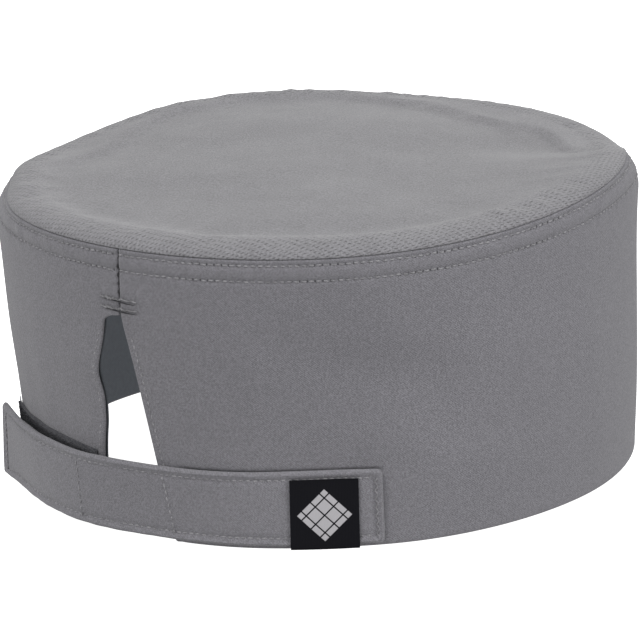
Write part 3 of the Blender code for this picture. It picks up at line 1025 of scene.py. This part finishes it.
def upStrap(topAngle, bottomAngle, pitch=strapCloth["pitch"], slant=0.0, **options):
    low, high = strap["bottom"] + strap["stitchMargin"], strap["top"] - strap["stitchMargin"]

    def rule(along, across, out, index):
        zigzag = slant * (1 if index % 2 else -1) * (along / pitch - index)
        angle = bottomAngle + (topAngle - bottomAngle) * along / (high - low) + degrees(across + zigzag)
        return onStrap(angle, low + along, out + 0.00012, 0.006)
    return int((high - low) / pitch) + 1, pitch, rule, options


# the strap takes the band's twill made 4% lighter, as painted light on the lower strap
strapLitTwill = makeTwill("strapLitTwill", tinted("band_twill", 1.04))
strapSewn = makeStrapLength(
    "strapSewn", strap["middle"], strap["rootEnd"], strapCloth["corner"], False, strapLitTwill,
    ["strap_face_root", "strap_back_root", "strap_face_mid"],
)
strapFree = makeStrapLength(
    "strapFree", strap["tipEnd"], strap["middle"], strapCloth["tipCorner"], True, strapLitTwill,
    ["strap_face_tip", "strap_back_tip", "strap_back_mid"],
)
sewnRun = lengthOf(strap["rootEnd"] - strap["middle"])
freeRun = lengthOf(strap["middle"] - strap["tipEnd"])
sewnFirst = strap["middle"] + degrees(0.0014)
freeFirst = strap["tipEnd"] + degrees(0.0030)
endAngle = strap["rootEnd"] - degrees(0.0020)
foldAngle = strap["peel"] + 2.5
fine = strapCloth["fineThread"]
sewnStitches = strapRows("strapSewnStitches", [
    alongStrap(sewnFirst, sewnRun, True),
    alongStrap(sewnFirst, sewnRun, False),
    upStrap(endAngle, endAngle, strapCloth["endPitch"], strapCloth["endSlant"], length=0.0017, radius=fine),
    upStrap(6.9, 8.4),
])
dress(sewnStitches, threadGrey, "thread", "strap_end_stitch", "strap_root_stitch")
freeStitches = strapRows("strapFreeStitches", [
    alongStrap(freeFirst, freeRun, True),
    alongStrap(freeFirst, freeRun, False),
    upStrap(freeFirst, freeFirst),
    upStrap(foldAngle, foldAngle, radius=fine),
])
dress(freeStitches, threadGrey, "thread")

strapHeight = (strap["top"] + strap["bottom"]) / 2
swingBend = {
    "start": capPoint(strapCloth["swingFrom"], strapHeight, 0.001),
    "end": capPoint(strapCloth["swingTo"], strapHeight, 0.001),
}
peelBend = {
    "start": capPoint(strap["peel"] + strapCloth["peelReach"], strapHeight, 0.004),
    "end": capPoint(strap["peel"] - strapCloth["peelReach"], strapHeight, 0.004),
}
for piece in (strapSewn, sewnStitches):
    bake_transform(piece)
for piece in (strapFree, freeStitches):
    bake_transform(piece)
print("strap")


# ---- hook and loop

tapes = {
    "base": 0.0003, "columns": 90, "rows": 14, "sink": (0.0034, 0.0022),
    "loopPitch": 0.00090, "loopRadius": 0.00040, "hookPitch": 0.0014, "hookRadius": 0.00032,
}


def sinking(sink, share):
    # how far a tape hangs below its place at its left end and at its right end
    return sink[0] * (1 - share) ** 2 + sink[1] * share ** 2


def tapeBase(name, span, bottom, top, face, standing, body, node, finish, sink=(0.0, 0.0)):
    columns, rows = tapes["columns"], tapes["rows"]
    run = lengthOf(span[1] - span[0])

    def rule(column, row):
        share, rise = column / columns, row / rows
        angle = span[0] + (span[1] - span[0]) * share
        height = bottom + (top - bottom) * rise - sinking(sink, share)
        return capPoint(angle, height, face + standing(angle, height)), (run * share, (top - bottom) * rise)

    piece = cutCloth(name, columns, rows, rule)
    applyTo(piece, "SOLIDIFY", thickness=tapes["base"], offset=-1.0)
    smooth(piece)
    dress(piece, finish, "hook_and_loop", node)
    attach(piece, body)
    return piece


def makePile(name, span, bottom, top, face, pitch, radius, direction, body, finish, cut, sink=(0.0, 0.0)):
    # one small ring standing half out of the tape; the hook is the same ring with a gap in it
    run = lengthOf(span[1] - span[0])
    tall = top - bottom
    bpy.ops.object.select_all(action="DESELECT")
    bpy.ops.mesh.primitive_torus_add(
        major_radius=radius, minor_radius=radius * 0.24, major_segments=9, minor_segments=4,
        rotation=(math.pi / 2, 0, 0.5),
    )
    piece = named(name)
    bpy.ops.object.transform_apply(location=False, rotation=True, scale=False)
    if cut:
        bpy.ops.object.mode_set(mode="EDIT")
        bpy.ops.mesh.select_mode(type="FACE")
        bpy.ops.mesh.select_all(action="DESELECT")
        bpy.ops.object.mode_set(mode="OBJECT")
        for polygon in piece.data.polygons:
            polygon.select = polygon.center.z > 0 and polygon.center.x > radius * 0.35
        bpy.ops.object.mode_set(mode="EDIT")
        bpy.ops.mesh.delete(type="FACE")
        bpy.ops.mesh.select_all(action="SELECT")
        bpy.ops.mesh.fill_holes(sides=4)
        bpy.ops.object.mode_set(mode="OBJECT")
    across, up = int((run - pitch) / pitch), int((tall - pitch) / (pitch * 0.8))
    repeat(piece, across, (pitch, 0, 0))
    repeat(piece, up, (0, pitch * 0.8, 0))
    for vertex in piece.data.vertices:
        column, row = round(vertex.co.x / pitch), round(vertex.co.y / (pitch * 0.8))
        stray = lump(column * 0.77, row * 0.91, 3.0)
        along = vertex.co.x + pitch * (0.75 + 0.5 * (row % 2) * (not cut)) + stray * 0.0004
        height = bottom + pitch * 0.6 + vertex.co.y + stray * 0.0006 - sinking(sink, along / run)
        angle = span[0] + degrees(along)
        rise = vertex.co.z * (1 + 0.5 * stray * (not cut)) + radius * 0.45
        proud = 0 if direction > 0 else standoff(angle, height)
        vertex.co = capPoint(angle, height, face + direction * rise + proud)
    smooth(piece, 80)
    dress(piece, finish, "hook_and_loop")
    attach(piece, body)
    return piece


def makeTapes():
    finish = makeFelt("tapeBlack", tinted("hook_and_loop", 5.0), 0.8, 1800, 0.0001)
    hookFinish = makeFelt("hookBlack", tinted("hook_and_loop", 1.3), 0.3, 900, 0.0001)
    low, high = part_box("loop_tape")
    span = spanOf("loop_tape")
    face = cap["layerGap"] + tapes["base"]
    loopTape = tapeBase(
        "loopTape", span, low.z, high.z, face, lambda angle, height: 0.0, "cap", "loop_tape", finish,
        tapes["sink"],
    )
    loops = makePile(
        "loopPile", span, low.z, high.z, face, tapes["loopPitch"], tapes["loopRadius"], 1,
        "cap", finish, False, tapes["sink"],
    )
    run = lengthOf(span[1] - span[0])
    low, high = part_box("hook_tape")
    span = spanOf("hook_tape")
    hookTape = tapeBase(
        "hookTape", span, low.z, high.z, cap["layerGap"], standoff, "strap_tip", "hook_tape", hookFinish
    )
    hooks = makePile(
        "hookPile", span, low.z, high.z, cap["layerGap"] - tapes["base"], tapes["hookPitch"],
        tapes["hookRadius"], -1, "strap_tip", hookFinish, True,
    )
    run = lengthOf(span[1] - span[0])


makeTapes()
print("hook and loop tapes")


# ---- labels

label = {"thickness": 0.0005, "under": 0.0060, "round": 0.0011, "bottom": 0.0004, "columns": 34}
care = {"width": 0.026, "columns": 24, "rows": 20, "thickness": 0.0003, "lift": 0.0012}


def makeWovenLabel():
    span = spanOf("woven_label")
    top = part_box("woven_label")[1].z
    width = lengthOf(span[1] - span[0])
    face = cap["layerGap"] * 2 + strap["thickness"] + label["thickness"]
    bottom = label["bottom"]
    turned = label["under"] + math.pi * label["round"]
    last = turned + top - bottom - label["round"]
    marks = spaced(0, label["under"], 6) + spaced(label["under"], turned, 10)
    marks += spaced(turned, last, 34) + [last]

    def rule(column, row):
        share = column / label["columns"]
        angle = span[0] + (span[1] - span[0]) * share
        rise, depth = foldPath(marks[row] - turned, label["round"], face - 0.0001)
        height = bottom + rise
        out = face - depth
        if depth == 0.0:
            out += 0.00018 * lump(share * 2.2, height * 130, 4.4)
            out += 0.00012 * bump(height, top, 0.0006)
        lean = degrees(0.0004 * (height / top))
        return capPoint(angle + lean, height, out), (width * (share - 0.5), height - (bottom + top) / 2)

    piece = cutCloth("wovenLabel", label["columns"], len(marks) - 1, rule)
    applyTo(piece, "SOLIDIFY", thickness=label["thickness"] * 0.7, offset=-1.0)
    smooth(piece, 50)
    finish = makeLabelWeave("labelWeave", slotColours["woven_label"], (0.44, 0.43, 0.45))
    dress(piece, finish, "woven_label", "woven_label")
    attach(piece, "cap")


def makeCareLabel():
    low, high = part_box("care_label")
    half = degrees(care["width"] / 2, low.z)

    def rule(column, row):
        share, rise = column / care["columns"], row / care["rows"]
        angle = 180 - half + 2 * half * share
        height = low.z + (high.z - low.z) * rise
        lift = care["lift"] * (1 - rise) ** 2
        return capPoint(angle, height, -cap["layers"] - 0.0005 - lift), (care["width"] * share, height)

    piece = cutCloth("careLabel", care["columns"], care["rows"], rule)
    applyTo(piece, "SOLIDIFY", thickness=care["thickness"], offset=1.0)
    smooth(piece)
    finish = makeFelt("careTape", slotColours["care_label"], 0.06, 1500, 0.00005)
    dress(piece, finish, "care_label", "care_label")
    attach(piece, "cap")


makeWovenLabel()
makeCareLabel()
print("labels")


# ---- floor, light and camera

studio = {
    "floorSize": 12.0, "floorGlow": 1.0, "sky": 0.55,
    "key": {"place": (0.5, 0.0, 1.9), "size": 1.6, "power": 5.8},
    "left": {"place": (-1.3, -1.0, 0.7), "size": 1.0, "power": 3.8},
    "right": {"place": (1.55, 0.0, 0.6), "size": 1.0, "power": 11.4},
    "front": {"place": (0.2, -1.35, 1.55), "size": 1.0, "power": 13.8},
    "inside": {"place": (0.0, 0.0, 0.055), "size": 0.02, "power": 0.07},
    "aim": (0.0, cap["offset"], 0.045),
    "azimuth": 38.0, "elevation": 17.156, "distance": 1.6, "lens": 297.9, "roll": -2.63,
    "aimLeft": 0.0017, "aimDown": 0.00418,
}


def makeFloor():
    bpy.ops.object.select_all(action="DESELECT")
    bpy.ops.mesh.primitive_plane_add(size=studio["floorSize"], location=(0, 0, -0.0006))
    floor = named("floor")
    bpy.ops.object.transform_apply(location=True)
    material = bpy.data.materials.new("paleFloor")
    material.use_nodes = True
    shader = material.node_tree.nodes["Principled BSDF"]
    shader.inputs["Base Color"].default_value = (0.9, 0.9, 0.9, 1)
    shader.inputs["Emission Color"].default_value = (1, 1, 1, 1)
    shader.inputs["Emission Strength"].default_value = studio["floorGlow"]
    floor.data.materials.append(material)
    floor.visible_diffuse = False
    floor.visible_glossy = False


def addLight(name, kind):
    facts = studio[name]
    data = bpy.data.lights.new(name, kind)
    data.energy = facts["power"]
    lamp = bpy.data.objects.new(name, data)
    bpy.context.scene.collection.objects.link(lamp)
    lamp.location = facts["place"]
    if kind == "POINT":
        data.shadow_soft_size = facts["size"]
        return
    data.shape = "DISK"
    data.size = facts["size"]
    lamp.rotation_euler = (Vector(studio["aim"]) - lamp.location).to_track_quat("-Z", "Y").to_euler()


def makeCamera():
    azimuth, elevation = math.radians(studio["azimuth"]), math.radians(studio["elevation"])
    back = Vector((
        math.sin(azimuth) * math.cos(elevation), -math.cos(azimuth) * math.cos(elevation), math.sin(elevation)
    ))
    right = Vector((math.cos(azimuth), math.sin(azimuth), 0))
    up = back.cross(right)
    place = Vector(studio["aim"]) + back * studio["distance"]
    target = Vector(studio["aim"]) - right * studio["aimLeft"] - up * studio["aimDown"]
    data = bpy.data.cameras.new("camera")
    data.lens = studio["lens"]
    data.clip_start = 0.01
    camera = bpy.data.objects.new("camera", data)
    bpy.context.scene.collection.objects.link(camera)
    camera.location = place
    camera.rotation_euler = (target - place).to_track_quat("-Z", "Y").to_euler()
    camera.rotation_euler.rotate_axis("Z", math.radians(studio["roll"]))
    bpy.context.scene.camera = camera


makeFloor()
for name in ("key", "left", "right", "front"):
    addLight(name, "AREA")
# this one is what the vented crown lets through
addLight("inside", "POINT")
makeCamera()
world = bpy.data.worlds.new("sky")
world.use_nodes = True
world.node_tree.nodes["Background"].inputs["Color"].default_value = (1, 1, 1, 1)
world.node_tree.nodes["Background"].inputs["Strength"].default_value = studio["sky"]
bpy.context.scene.world = world
bpy.context.scene.view_settings.view_transform = "Standard"
print("studio")
